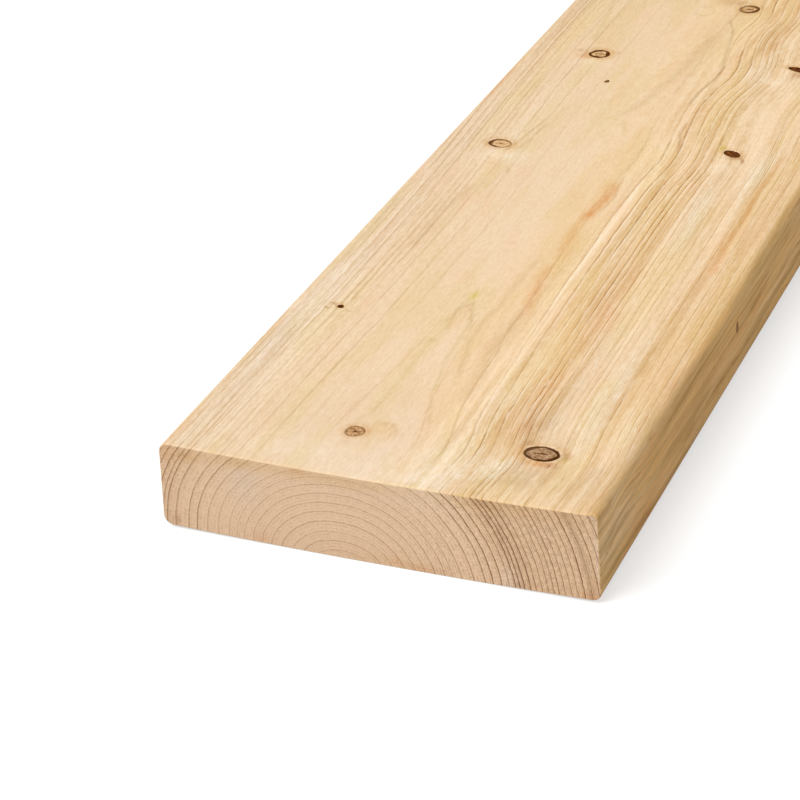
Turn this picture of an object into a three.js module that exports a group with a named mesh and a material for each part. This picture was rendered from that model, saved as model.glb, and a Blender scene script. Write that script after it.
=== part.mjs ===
// A dressed softwood plank of nominal 2 x 8 in section and 8 ft length, lying flat with its bark side up.
// +X runs across the width, +Y along the grain and +Z up, from the middle of the underside. Sizes are in mm.
import * as THREE from "three";

// Driving dimensions
const LENGTH = 2438; // 8 ft, cut square at both ends
const WIDTH = 184; // dressed width of a nominal 8 in plank
const THICKNESS = 38; // dressed thickness of a nominal 2 in plank
const EDGE_RADIUS = 4; // of the four eased long edges
const CUP = 1.3; // how far drying has pulled the two long edges up above the middle of the face

// Steps that the curves are cut into
const FACE_STEPS = 9; // across a wide face; odd, so that the middle step lies level
const CORNER_STEPS = 6; // round an eased edge
const EDGE_STEPS = 1; // a narrow edge is flat

const PLANED_WOOD = { name: "planed_wood", color: 0xedd2ab, roughness: 0.6, metalness: 0 };

// The points of a straight run of the section.
function straight(fromX, fromZ, toX, toZ, steps) {
  return new THREE.LineCurve(new THREE.Vector2(fromX, fromZ), new THREE.Vector2(toX, toZ)).getPoints(steps);
}

// The points of an eased edge: a quarter circle that starts the given number of quarter turns round.
function corner(centreX, centreZ, quarterTurns) {
  const start = (quarterTurns * Math.PI) / 2;
  const end = start + Math.PI / 2;
  return new THREE.EllipseCurve(centreX, centreZ, EDGE_RADIUS, EDGE_RADIUS, start, end).getPoints(CORNER_STEPS);
}

// The section as it was planed, anticlockwise: flat faces and four eased edges, standing on z = 0.
function planedSection() {
  const side = WIDTH / 2;
  const inner = side - EDGE_RADIUS;
  const low = EDGE_RADIUS;
  const high = THICKNESS - EDGE_RADIUS;
  const runs = [
    straight(-inner, 0, inner, 0, FACE_STEPS),
    corner(inner, low, -1),
    straight(side, low, side, high, EDGE_STEPS),
    corner(inner, high, 0),
    straight(inner, THICKNESS, -inner, THICKNESS, FACE_STEPS),
    corner(-inner, high, 1),
    straight(-side, high, -side, low, EDGE_STEPS),
    corner(-inner, low, 2),
  ];
  // Each run ends where the next one starts.
  return runs.flatMap((run) => run.slice(0, -1));
}

// Cupping bends the section about a line high above it. Both wide faces take the curve, the narrow
// edges stay square to them, and the bark side turns hollow.
function cupped(point) {
  const bendRadius = (WIDTH ** 2 / 4 + CUP ** 2) / (2 * CUP);
  const angle = point.x / bendRadius;
  const reach = bendRadius - (point.y - THICKNESS / 2);
  return new THREE.Vector2(reach * Math.sin(angle), bendRadius - reach * Math.cos(angle));
}

// The finished section, with its lowest step on z = 0.
function section() {
  const points = planedSection().map(cupped);
  const lowest = Math.min(...points.map((point) => point.y));
  return new THREE.Shape(points.map((point) => new THREE.Vector2(point.x, point.y - lowest)));
}

// The plank: its section drawn out along the grain and centred on the origin.
function plank() {
  const geometry = new THREE.ExtrudeGeometry(section(), { depth: LENGTH, bevelEnabled: false });
  geometry.translate(0, 0, -LENGTH / 2);
  geometry.rotateX(Math.PI / 2);
  const mesh = new THREE.Mesh(geometry, new THREE.MeshStandardMaterial(PLANED_WOOD));
  mesh.name = "plank";
  return mesh;
}

const lumber = new THREE.Group();
lumber.name = "lumber_plank";
lumber.add(plank());

export default lumber;
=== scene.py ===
# A dressed softwood plank, nominal 2 x 8 in and 8 ft long, lying flat with its bark side up.
# +X runs across the width, +Y along the grain and +Z up. The photographed end is at the lowest Y.
# The wood is worked out in millimetres, with Y counted from the photographed end, and made in metres.
#
# The figure comes from the tree: growth rings round a pith line below the plank, branches that run out
# from it as knots, and fibres that flow round them. The mesh carries where each point lay in the tree, and
# the material turns that into rings, fibres and knots on every face alike.
import math

import bpy
import numpy as np
from mathutils import Matrix, Vector
from mathutils.geometry import delaunay_2d_cdt


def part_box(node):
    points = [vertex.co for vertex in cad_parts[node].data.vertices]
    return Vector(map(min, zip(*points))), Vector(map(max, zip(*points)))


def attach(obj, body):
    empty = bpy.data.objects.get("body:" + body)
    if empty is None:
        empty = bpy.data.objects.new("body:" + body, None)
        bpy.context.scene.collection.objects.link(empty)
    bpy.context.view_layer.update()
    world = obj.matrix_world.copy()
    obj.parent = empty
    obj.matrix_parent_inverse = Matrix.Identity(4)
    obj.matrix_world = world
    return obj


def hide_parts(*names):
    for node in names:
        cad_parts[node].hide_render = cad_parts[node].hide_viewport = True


MM = 0.001
TINY = 1e-6

# Camera, in metres and degrees: solved from the plank's outline in the photograph
CAMERA_PLACE = (0.365311, -2.010243, 0.561632)
CAMERA_TURN = 23.930
CAMERA_DROP = 29.291
CAMERA_ROLL = -3.363
CAMERA_LENS = 119.305
CAMERA_CLIP = (0.05, 50.0)
SENSOR_WIDTH = 36.0

# The section, as in the CAD source
EDGE_RADIUS = 4.0
CUP = 1.3
HALF_WIDTH = 92.0

# The tree's pith line: Y, X, Z
PITH_LINE = (
    (-100, -14.5, -9.5), (0, -14.5, -11), (150, -14.7, -14.1), (280, -16.4, -15), (390, -20.8, -15.5),
    (530, -21.8, -15.5), (900, -15, -15), (1400, -19, -11.5), (1900, -12, -13.5), (2550, -16, -17),
)

# Each growth ring: the radius of its late line, and how strongly that line shows
RINGS = (
    (4, 0.4), (8, 0.4), (12, 0.5), (15.5, 0.5), (20, 0.6), (24, 0.35), (28.6, 0.7), (33, 0.55), (37, 0.5),
    (41, 0.55), (45, 0.45), (48.2, 0.3), (51.8, 0.4), (56.8, 0.5), (61.5, 0.6), (64.7, 0.95), (68.2, 0.85),
    (71.2, 0.5), (73.7, 0.95), (75.4, 0.85), (77.2, 0.95), (79.8, 0.9), (82, 0.6), (84.5, 0.5), (87, 0.5),
    (89.2, 0.55), (91.2, 0.75), (93.6, 0.5), (96.2, 0.55), (98.7, 0.5), (101.5, 1), (104.5, 0.3),
    (107.5, 0.75), (110.2, 0.5), (113.2, 0.7), (116, 0.5), (119.5, 0.5), (123, 0.5), (126, 0.5),
)
RING_SPAN = 128.0

# Whorls, where every ring swells outwards: Y, direction in degrees, lift, spread in degrees, and the
# reach towards the near end and the far end
WHORLS = (
    (0, 90, -1.1, 32, 60, 60), (0, 173, -2.4, 12, 80, 80), (30, 50, 2.6, 36, 18, 24),
    (318, 48, 2.6, 22, 28, 44), (424, 42, 4.6, 20, 28, 34), (503, 50, 1.8, 22, 16, 22),
)

# Knots on the top face: X, Y, half the width, half the length, the turn in degrees and how much stronger the
# rim is on the right than on the left; then how dark the heart and the rim are, the rim's share of the size,
# how dark the middle is, and how much the wood round it is stained
TOP_KNOTS = (
    (56.1, 38.1, 7.2, 5.4, -8, 0.1, 0.5, 0.96, 0.23, 0.8, 0.8),
    (-20.9, 33.4, 4, 4.2, 0, 0, 0.36, 0.5, 0.18, 0.9, 0.8),
    (-69, 129.9, 1.7, 1.4, -30, 0, 1, 1, 0.3, 0, 1),
    (-62.6, 310.6, 5.6, 4.8, 0, -0.3, 0.05, 0.76, 0.25, 0.6, 0.8),
    (-52.7, 432.2, 5.4, 5.2, 0, 0, 0.06, 1, 0.35, 0.8, 1),
    (-37.5, 398.8, 1.1, 1.8, 0, 0, 0.8, 0.8, 0.3, 0, 0.6),
    (48.3, 329.3, 4.7, 3.1, -32, 0, 0.88, 1, 0.26, 0, 0.9),
    (53.8, 437.4, 7.6, 2.9, -20, 0, 0.94, 1, 0.25, 0, 1),
    (4.7, 514, 5.3, 6, 0, 0.25, 0.2, 0.76, 0.3, 1, 0.6),
)
# A pin knot on the right edge: Y, Z, then as above
EDGE_KNOT = (186, 24.4, 2.4, 1.6, 10, 0, 0.34, 0.6, 0.5, 1, 1)

# Colours of stains and marks; ASH also serves as painted shade on the right arris
BARE = (238, 209, 171)
ORANGE, GOLD, RED = (222, 158, 96), (226, 186, 122), (230, 188, 146)
RESIN, BROWN, RUST = (214, 192, 100), (176, 122, 72), (160, 70, 36)
OLIVE, UMBER, GREY = (216, 190, 136), (206, 170, 120), (205, 180, 142)
ASH, TAN, BUFF, ICE = (226, 198, 162), (228, 197, 150), (237, 205, 160), (222, 210, 190)
CREAM, PEARL = (250, 229, 200), (241, 219, 190)

# Stains of the top face: X, Y, half the width, half the length, colour, strength
TOP_HEIGHT = 38.0
TOP_STAIN_DEPTH = 6.0
TOP_STAINS = (
    (-17.5, 157, 1.8, 4, RESIN, 0.8), (-19.5, 113, 2.4, 2, OLIVE, 0.6), (-19.5, 132, 2, 3.5, OLIVE, 0.6),
    (62, 30, 2.2, 2, BROWN, 0.7), (57, 30, 5, 2.2, ORANGE, 0.75), (47, 45.5, 2, 3.5, BROWN, 0.3),
    (65.7, 38, 2.2, 2.6, BROWN, 0.6), (66, 36, 3, 2.5, RESIN, 0.5), (-15, 35, 3, 3, RED, 0.5),
    (-20.5, 25, 1.6, 1.6, BROWN, 0.25), (-72.5, 131, 2.2, 1.4, BROWN, 0.35),
    (42, 334.5, 1.9, 2.6, RESIN, 0.9), (50, 324.3, 3.5, 2, BROWN, 0.45), (-59, 427, 3, 3, ORANGE, 0.6),
    (-63.5, 434, 1.4, 2, BROWN, 0.5), (-43.5, 436, 1.2, 2, BROWN, 0.4), (-8, 522, 6, 5, BROWN, 0.35),
    (52.5, 430, 2.5, 3.5, BROWN, 0.7), (56, 20, 9, 10, ASH, 1.7), (78, 15, 8, 14, ASH, 0.9),
    (64, 17, 17, 7, TAN, 0.65), (81, 28, 4, 9, ASH, 1), (67, 28, 4, 4, TAN, 1.1),
    (78, 125, 3, 38, GOLD, 0.35), (73, 68, 3, 20, PEARL, 0.7), (49, 26.5, 2.5, 4, PEARL, 1.5),
    (33, 29, 4, 7, PEARL, 1), (48, 43.5, 1.8, 3, BROWN, 0.3), (52, 49, 3, 3, TAN, 0.8),
    (36, 412, 4, 16, PEARL, 1.1), (69.5, 320, 3, 22, PEARL, 0.9), (24, 446, 3, 12, TAN, 0.8),
    (18.5, 85, 3, 16, TAN, 0.6), (17, 130, 3, 16, TAN, 0.5), (-84.7, 93, 2.5, 20, ASH, 0.9),
    (-51, 297, 4, 6, PEARL, 1), (28, 233, 3, 22, PEARL, 0.9), (31, 14, 6, 6, PEARL, 0.6),
    (67, 90, 4, 40, PEARL, 1.6), (84, 66, 3, 14, PEARL, 1.1), (42, 19, 4, 9, PEARL, 1.6),
    (43.5, 24, 4.5, 8, CREAM, 1.25), (42, 65, 4, 8, PEARL, 1.2), (18, 27, 7, 14, PEARL, 1.1),
    (28, 65, 6, 45, PEARL, 0.9), (-82, 95, 4, 60, PEARL, 0.5), (33, 432, 6, 16, PEARL, 1),
    (50, 275, 4, 25, PEARL, 1.3), (53, 243, 3, 22, PEARL, 1.3), (66, 305, 3.5, 25, PEARL, 1.4),
)
# Stains of the near end: X, Z, half the width, half the height, colour, strength
END_STAIN_DEPTH = 0.5
END_STAINS = (
    (-25, 0, 80, 11, ASH, 0.7), (88, 3, 4, 1.5, ORANGE, 0.5), (91, 9, 1.2, 2, ORANGE, 0.4),
    (19, 1.5, 7, 1.4, ORANGE, 0.45), (8.5, 3, 2.5, 1, ORANGE, 0.6), (64, 3, 6, 1.6, ORANGE, 0.15),
    (55.5, 4, 4, 6, CREAM, 0.9), (-49, 2.5, 3, 2, ORANGE, 0.35), (-31, 36.5, 3.5, 1.6, ORANGE, 0.4),
    (6, 3, 18, 2.2, GOLD, 0.2), (0, 36, 95, 3.5, GOLD, 0.4), (-80, 35, 5, 3, GOLD, 0.5),
    (55, 37, 20, 3, GOLD, 0.15), (-55, 27, 6, 8, ICE, 0.38), (-57, 36, 6, 2.2, GOLD, 0.5),
    (-88, 31, 3, 8, ORANGE, 0.15), (-86.8, 4.2, 0.9, 2, RUST, 0.8),
)
# Stains that go deeper or round an edge, and one band of painted shade on the right arris: X, Y, Z, half the
# width, length and depth, colour, strength
DEEP_STAINS_AND_SHADE = (
    (45, 60, 38, 3.5, 13, 8, BROWN, 0.15), (-10.5, 37.5, 38, 6, 6, 8, BUFF, 1.2),
    (-16, 30, 38, 16, 14, 8, BUFF, 0.25), (-8, 470, 38, 48, 110, 9, BUFF, 0.7),
    (-80, 440, 38, 12, 60, 9, BUFF, 0.8), (-22, 25, 38, 45, 42, 8, ASH, 0.5),
    (92.5, 115, 31.5, 4, 75, 2.4, TAN, 0.9), (91.5, 250, 36, 3, 65, 3.5, CREAM, 0.9),
    (92, 16, 35, 3, 14, 3, CREAM, 0.4), (92.5, 250, 12, 1.5, 60, 3, CREAM, 0.9),
    # The ASH band at X 89.2 runs along the top's right arris and is painted shade: it greys the arris where
    # it turns away from the light.
    (92.5, 20, 27, 1.5, 25, 2, CREAM, 0.8), (89.2, 250, 39, 1.8, 500, 2.5, ASH, 1.2),
    (92.5, 110, 24, 4, 60, 4, TAN, 0.8), (92.5, 48, 8, 4, 22, 5, UMBER, 0.5),
    (52, 95, 38, 5, 48, 8, ASH, 0.9), (52, 58, 38, 5, 12, 8, ASH, 1.2), (60, 47, 38, 4, 5, 8, ASH, 0.8),
    (88, 56, 38, 3, 10, 4, PEARL, 1), (20, 4, 38, 18, 7, 5, PEARL, 1), (89.5, 40, 37, 2.5, 40, 4, PEARL, 1),
    (93, 12, 22, 1.5, 34, 15, PEARL, 2.6), (0, 450, 38, 8, 70, 8, ASH, 0.6),
    (-88.5, 385, 37, 1.7, 24, 4, ORANGE, 0.6), (-88.5, 95, 37, 1.5, 22, 4, GOLD, 0.5),
    (-88.5, 14, 37, 1.7, 16, 4, ORANGE, 0.4), (92, 40, 7, 5, 30, 5, ORANGE, 0.4),
)

# Marks along the top face: half their width, colour, strength, and the X, Y points they run through
TRAILS = (
    (2.3, ORANGE, 0.7, ((4.5, 285), (6, 277), (5.6, 267), (4.4, 255), (3.4, 240))),
    (2.2, ORANGE, 0.3, ((4.2, 255), (3.2, 238), (3.8, 220), (4.5, 203))),
    (0.6, UMBER, 0.6, ((7, 292), (8.5, 280), (9, 268), (8, 250))),
    (2.2, UMBER, 0.45, ((-62, 190), (-61, 225), (-59, 265))),
    (0.6, UMBER, 0.9, ((-76.5, 128), (-73, 126.5), (-70.5, 128))),
    (0.6, UMBER, 0.8, ((-75.5, 131.5), (-73, 131.5), (-70.5, 130.5))),
    (0.6, UMBER, 0.7, ((-67.5, 129.5), (-63.5, 126.5), (-60.5, 127))),
    (0.8, BROWN, 0.5, ((-2, 517), (-3.5, 521), (-1, 524), (2.5, 522))),
    (1.5, BROWN, 0.9, ((56, 434), (58, 431), (60.5, 430))),
    (3.6, GOLD, 0.45, ((4, 290), (4, 250), (5, 200), (6, 150))),
    (2.2, RED, 0.9, ((4, 196), (6.5, 175), (8.5, 155), (8.5, 140))),
    (2.8, UMBER, 0.45, ((7.5, 150), (7.5, 110), (10, 90), (12, 66))),
    (1.3, UMBER, 0.4, ((-3, 205), (-3, 170), (-5, 135), (-3, 112), (0, 95), (2, 84))),
    (0.8, OLIVE, 0.55, ((-16, 152), (-12, 140), (-9, 124), (-8.5, 100), (-5.5, 84), (0.5, 62), (6, 44))),
    (0.8, OLIVE, 0.45, ((-19, 152), (-19.5, 140), (-17.5, 126), (-20, 112), (-20.5, 92), (-19, 70),
        (-20.5, 48))),
    (1.9, TAN, 0.9, ((-18, 37.5), (-15.3, 40.8), (-12.2, 42.2), (-9.5, 41), (-7.5, 38), (-6.2, 34),
        (-5.4, 28))),
    (0.8, UMBER, 0.35, ((-15.3, 41.5), (-12, 43.4), (-8.4, 42.6), (-5.8, 38.5), (-4.4, 33))),
    (1.9, GOLD, 0.3, ((78, 52), (76.2, 65), (74.4, 80), (73.6, 100))),
    (0.9, GOLD, 0.35, ((73.4, 92), (73, 140))), (1.9, UMBER, 0.35, ((73.4, 105), (73, 140), (73, 205))),
    (1.7, ORANGE, 0.45, ((75.5, 200), (74, 235), (73, 270), (71.5, 305), (73.5, 335))),
    (4.2, RED, 0.45, ((44, 48), (41, 75), (41, 120), (42, 165), (44, 205))),
    (0.9, BROWN, 0.45, ((16.5, 362), (18, 345), (21.5, 332), (23, 322))),
    (0.8, BROWN, 0.8, ((52.6, 326.5), (55, 322.5), (55.6, 318))),
    (0.7, UMBER, 0.6, ((-58, 298), (-55.5, 315), (-52, 335), (-50, 350))),
    (0.7, UMBER, 0.55, ((-53, 303), (-50.5, 322), (-47.5, 342))),
    (1, UMBER, 0.5, ((-48.5, 287), (-46.5, 278))),
    (0.8, GREY, 0.75, ((-2, 500), (3, 486), (8, 466), (11.5, 444), (14, 420), (12, 398), (10, 376))),
    (1.8, UMBER, 0.5, ((27, 503), (25, 480), (26, 455), (29, 430))),
    (2.4, UMBER, 0.35, ((-4, 478), (-4, 450), (-7, 415), (-12, 375), (-19, 356))),
    (1.2, OLIVE, 0.45, ((-27, 343), (-22, 355), (-13, 353), (-7, 335))),
    (0.8, UMBER, 0.4, ((-22, 508), (-19, 512), (-14, 511), (-12, 504), (-16, 498), (-21, 500), (-22, 508))),
    (1.1, OLIVE, 0.45, ((-61, 446), (-64, 470), (-67, 495), (-69, 512))),
)

# Patches of the top face: X, Y, half the width, half the length, how far the rings hide there, how pale it is
PATCHES = (
    (-27, 14, 10, 12, 0.7, 0.2), (4, 10, 32, 17, 0.9, 0.15), (32, 17, 8, 12, 0.6, 0.1),
    (65, 15, 26, 17, 0.45, 0), (-46, 15, 26, 14, 0.3, 0.3), (-80, 150, 5, 60, 0.2, 0.4),
    (-58, 345, 8, 50, 0.2, 0.3), (58, 150, 7, 110, 0, 0.1), (27, 14, 12, 12, 0.8, 0.25),
    (38, 22, 8, 7, 0.7, 0), (42, 38, 8, 10, 0.6, 0), (-58, 299, 9, 6, 0.7, 0.5), (-53, 421, 7, 6, 0.6, 0.4),
    (46, 314, 7, 9, 0.7, 0.5), (45, 422, 8, 12, 0.8, 0.3), (40, 468, 9, 26, 0.7, 0.2),
    (-14, 505, 8, 9, 0.5, 0.3), (-70, 80, 5, 45, 0.3, 0.3), (49, 372, 13, 42, 0.75, 0.1),
    (25, 110, 4, 60, 0.65, 0.1), (6, 262, 4, 24, 0.8, 0), (-10, 400, 22, 90, 0.8, 0.1),
    (76, 56, 11, 16, 0.2, 0.15), (65, 110, 24, 110, 0.3, 0), (22, 290, 13, 85, 0, 0.3),
    (24, 440, 12, 60, 0, 0.35), (68, 365, 5, 28, 0.2, 0.35),
)


def placed(name, data):
    """A new object in the scene."""
    made = bpy.data.objects.new(name, data)
    bpy.context.scene.collection.objects.link(made)
    return made


# ---- camera
def make_camera():
    camera = bpy.data.cameras.new("camera")
    camera.lens = CAMERA_LENS
    camera.sensor_width = SENSOR_WIDTH
    camera.clip_start, camera.clip_end = CAMERA_CLIP
    body = placed("camera", camera)
    place = Matrix.Translation(CAMERA_PLACE)
    for angle, axis in ((CAMERA_TURN, "Z"), (90 - CAMERA_DROP, "X"), (CAMERA_ROLL, "Z")):
        place = place @ Matrix.Rotation(math.radians(angle), 4, axis)
    body.matrix_world = place
    bpy.context.scene.camera = body


# ---- the section
FIT_ROUNDS = 4
FIT_STEPS = 4001
TOP_STEPS = 400
# Runs of the outline, counted from the underside
TOP_RIGHT, TOP_FACE, TOP_LEFT = 3, 4, 5


class Section:
    """The planed outline, bent by the cup. A place on it is counted from the left end of the underside."""

    def __init__(self, low, high):
        self.width = self.box_width = high[0] - low[0]
        self.thickness = self.box_height = high[2] - low[2]
        self.lowest = 0.0
        # The planed sizes are those whose bent outline fills the frame's box.
        for _ in range(FIT_ROUNDS):
            self.measure()
            x, z = self.at(np.linspace(0, self.round, FIT_STEPS))[:2]
            self.width += self.box_width - np.ptp(x)
            self.thickness += self.box_height - np.ptp(z)
        self.measure()
        self.lowest = self.at(np.linspace(0, self.round, FIT_STEPS))[1].min()

    def measure(self):
        face = self.width - 2 * EDGE_RADIUS
        rise = self.thickness - 2 * EDGE_RADIUS
        arc = EDGE_RADIUS * math.pi / 2
        self.runs = np.array([face, arc, rise, arc] * 2)
        self.stops = np.concatenate([[0], np.cumsum(self.runs)])
        self.round = self.stops[-1]
        self.bend = (self.width**2 / 4 + CUP**2) / (2 * CUP)

    def flat(self, along):
        """X, Z and the outward direction on the outline before it is bent."""
        half = self.runs[0] / 2
        side, radius, tall = self.width / 2, EDGE_RADIUS, self.thickness
        run = np.clip(np.searchsorted(self.stops, along, side="right") - 1, 0, len(self.runs) - 1)
        step = along - self.stops[run]
        turn = step / radius
        sin, cos, zero = np.sin(turn), np.cos(turn), np.zeros_like(step)
        tables = [
            (step - half, zero, zero, zero - 1),
            (half + radius * sin, radius - radius * cos, sin, -cos),
            (zero + side, radius + step, zero + 1, zero),
            (half + radius * cos, tall - radius + radius * sin, cos, sin),
            (half - step, zero + tall, zero, zero + 1),
            (-half - radius * sin, tall - radius + radius * cos, -sin, cos),
            (zero - side, tall - radius - step, zero - 1, zero),
            (-half - radius * cos, radius - radius * sin, -cos, -sin),
        ]
        return [np.choose(run, column) for column in zip(*tables)]

    def at(self, along):
        """X, Z and the outward direction on the bent outline, set down on its lowest point."""
        x, z, out_x, out_z = self.flat(along)
        angle = x / self.bend
        reach = self.bend - (z - self.thickness / 2)
        sin, cos = np.sin(angle), np.cos(angle)
        z = self.bend - reach * cos - self.lowest
        return reach * sin, z, out_x * cos - out_z * sin, out_x * sin + out_z * cos

    def top_place(self, x):
        """The place round the outline of a point of the top face."""
        along = np.linspace(self.stops[TOP_FACE], self.stops[TOP_LEFT], TOP_STEPS)
        return float(np.interp(-x, -self.at(along)[0], along))

    def top_height(self, x):
        """Z of the top face at X."""
        reach = self.bend - self.thickness / 2
        return self.bend - math.sqrt(reach**2 - x**2) - self.lowest


# ---- the tree
def pith_at(y):
    """X and Z of the pith line, on a smooth curve through its points."""
    stops, *lines = np.array(PITH_LINE, float).T
    part = np.clip(np.searchsorted(stops, y, side="right") - 1, 0, len(stops) - 2)
    span = stops[part + 1] - stops[part]
    t = (y - stops[part]) / span
    found = []
    for line in lines:
        slope = np.gradient(line, stops)
        found.append(
            (1 + 2 * t) * (1 - t) ** 2 * line[part]
            + t * (1 - t) ** 2 * span * slope[part]
            + t**2 * (3 - 2 * t) * line[part + 1]
            - t**2 * (1 - t) * span * slope[part + 1]
        )
    return found


# A knot's outline isn't quite an ellipse: waves round it, stronger on a small knot
WAVE_ORDERS = (2, 3, 5)
WAVE_RANGE = (0.004, 0.018)
WAVE_SIZE = 24.0
LEAST_WAVES = 2.0
# It has its full size from this share of the way to the surface, and this share of it at the pith
FULL_SIZE_AT = 0.75
LEAST_SIZE = 0.05
FAR_OFF = 99.0


class Knot:
    """A branch that runs out from the pith: an elliptical cone that soon reaches its full size."""

    def __init__(self, y, direction, reach, across, along, turn, lean, look, seed, detail=1.0, slant=1.0):
        self.y, self.across, self.along, self.slant = y, across, along, slant
        self.reach, self.lean, self.look, self.seed, self.detail = reach, lean, look, seed, detail
        self.turn = math.radians(turn)
        self.out = np.array([math.cos(direction), math.sin(direction)])
        draw = np.random.default_rng(seed)
        rough = max(LEAST_WAVES, WAVE_SIZE / (across + along))
        self.waves = []
        for order in WAVE_ORDERS:
            height = draw.uniform(*WAVE_RANGE) * rough / order
            self.waves.append((order, height, draw.uniform(0, 2 * math.pi)))

    def local(self, x, y, z):
        """Sideways, along the grain and outwards from the pith. A slanting knot is measured on its face."""
        pith_x, pith_z = pith_at(y)
        dx, dz = x - pith_x, z - pith_z
        side = (dx * self.out[1] - dz * self.out[0]) / self.slant
        return side, y - self.y, dx * self.out[0] + dz * self.out[1]

    def size(self, outwards):
        return np.clip(outwards / (FULL_SIZE_AT * self.reach), LEAST_SIZE, 1)

    def place(self, x, y, z):
        """Where a point lies in the knot's own frame, with the rim at a distance of 1."""
        side, grain, out = self.local(x, y, z)
        size = self.size(out)
        cos, sin = math.cos(self.turn), math.sin(self.turn)
        a = (side * cos + grain * sin) / (self.across * size)
        b = (grain * cos - side * sin) / (self.along * size)
        angle = np.arctan2(b, a)
        rim = 1 + sum(height * np.cos(order * angle + phase) for order, height, phase in self.waves)
        return a / rim, b / rim, np.where(out > 0, np.hypot(a, b) / rim, FAR_OFF)


def knots_seen(section):
    """The photographed knots, each aimed from the pith at its place on the surface."""
    places = [(x, y, section.top_height(x), *rest) for x, y, *rest in TOP_KNOTS]
    places.append((section.width / 2, *EDGE_KNOT))
    made = []
    for x, y, z, across, along, turn, lean, *look in places:
        pith_x, pith_z = pith_at(y)
        direction = math.atan2(z - pith_z, x - pith_x)
        reach = math.hypot(z - pith_z, x - pith_x)
        slant = math.sin(direction) if x < section.width / 2 else 1.0
        made.append(Knot(y, direction, reach, across, along, turn, lean, look, len(made), slant=slant))
    return made


# Beyond the photograph, whorls and knots are drawn at random between these limits, in mm and degrees
UNSEEN_FROM = 610.0
UNSEEN_SEED = 12
UNSEEN_DETAIL = 0.6
CLEAR_OF_MIDDLE, CLEAR_OF_END = 26.0, 60.0
WHORL_GAP = (105.0, 175.0)
WHORL_KNOTS = (2, 4)
WHORL_TURN, WHORL_LIFT, WHORL_SPREAD = (0, 60), (2.0, 3.8), (24, 45)
WHORL_REACH = (22, 32)
FIRST_TURN, NEXT_TURN, LAST_TURN = (25, 60), (42, 60), 160
KNOT_HALF, KNOT_LENGTH, KNOT_TURN, KNOT_SHIFT = (2.5, 6.5), (0.8, 1.0), (-20, 20), (-9, 9)
DEAD_KNOTS, LIVE_HEART = 0.25, (0.0, 0.5)
RIM_STRENGTH, RIM_SHARE, MIDDLE_DARK, STAIN_STRENGTH = (0.7, 1.0), (0.13, 0.25), (0.3, 1.0), (0.3, 0.8)
PIN_KNOTS, PIN_SHIFT, PIN_TURN, PIN_HALF = 0.5, (40, 60), (30, 150), (1.0, 1.6)
SURFACE_ABOVE_PITH, LEAST_RISE = 55, 0.5
SEED_FROM = 100


def knots_unseen(length):
    """Whorls and their knots beyond the photograph, with pin knots between them."""
    draw = np.random.default_rng(UNSEEN_SEED)
    knots, whorls = [], []
    y = UNSEEN_FROM

    def add(at, direction, half, heart):
        if abs(at - length / 2) <= CLEAR_OF_MIDDLE or at >= length - CLEAR_OF_END:
            return
        along = half * draw.uniform(*KNOT_LENGTH)
        reach = SURFACE_ABOVE_PITH / max(math.sin(direction), LEAST_RISE)
        middle = 0.0 if heart == 1 else draw.uniform(*MIDDLE_DARK)
        rim, thick, stain = (draw.uniform(*limits) for limits in (RIM_STRENGTH, RIM_SHARE, STAIN_STRENGTH))
        look = (heart, rim, thick, middle, stain)
        turn, seed = draw.uniform(*KNOT_TURN), SEED_FROM + len(knots)
        knots.append(Knot(at, direction, reach, half, along, turn, 0.0, look, seed, UNSEEN_DETAIL))

    while y < length:
        count = draw.integers(*WHORL_KNOTS)
        first = draw.uniform(*FIRST_TURN)
        for i in range(count):
            direction = first + i * draw.uniform(*NEXT_TURN)
            if direction < LAST_TURN:
                half = draw.uniform(*KNOT_HALF)
                heart = 1.0 if draw.random() < DEAD_KNOTS else draw.uniform(*LIVE_HEART)
                add(y + draw.uniform(*KNOT_SHIFT), math.radians(direction), half, heart)
        shape = [draw.uniform(*limits) for limits in (WHORL_TURN, WHORL_LIFT, WHORL_SPREAD)]
        whorls.append((y, first + shape[0], *shape[1:], *WHORL_REACH))
        if draw.random() < PIN_KNOTS:
            pin = math.radians(draw.uniform(*PIN_TURN))
            add(y + draw.uniform(*PIN_SHIFT), pin, draw.uniform(*PIN_HALF), 1.0)
        y += draw.uniform(*WHORL_GAP)
    return knots, whorls


# How far along the grain a knot bends the fibres, how far off it still does, and how fully
FLOW_STRETCH = 3.0
FLOW_REACH = 80.0
FLOW_SHARE = 0.95


def in_tree(x, y, z, knots, whorls):
    """Each point's place from the pith, with the fibres' flow round knots and the whorls' swelling undone."""
    pith_x, pith_z = pith_at(y)
    dx, dz = x - pith_x, z - pith_z
    radius = np.hypot(dx, dz)
    heading = np.degrees(np.arctan2(dz, dx))
    swelling = np.zeros_like(radius)
    for at, direction, lift, spread, near, far in whorls:
        reach = np.where(y < at, near, far)
        swelling += lift * np.exp(-(((y - at) / reach) ** 2) - ((heading - direction) / spread) ** 2)
    scale = 1 - swelling / np.maximum(radius, 1)
    new_x, new_z = dx * scale, dz * scale
    for knot in knots:
        close = np.abs(y - knot.y) < FLOW_REACH
        side, grain, out = knot.local(x[close], y[close], z[close])
        size = knot.size(out)
        across = knot.across * size
        away = side**2 + (grain * across / (knot.along * size * FLOW_STRETCH)) ** 2
        share = np.clip(across**2 / np.maximum(away, TINY), 0, 1) * (out > 0)
        new_x[close] -= side * knot.slant * share * knot.out[1] * FLOW_SHARE
        new_z[close] += side * knot.slant * share * knot.out[0] * FLOW_SHARE
    return np.stack([new_x, y, new_z], 1)


# ---- stains
# How steeply a spot falls off, how soon a trail fades in, which is at most in a third of its length, and
# the height above which trails and patches show
SPOT_FALL = 0.9
TRAIL_FADE = 7.0
MARKS_ABOVE = 30.0
# Waves along a trail: height, length per radian, start
SWAYS = ((0.45, 8.7, 0.0), (0.15, 3.7, 1.0))


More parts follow.
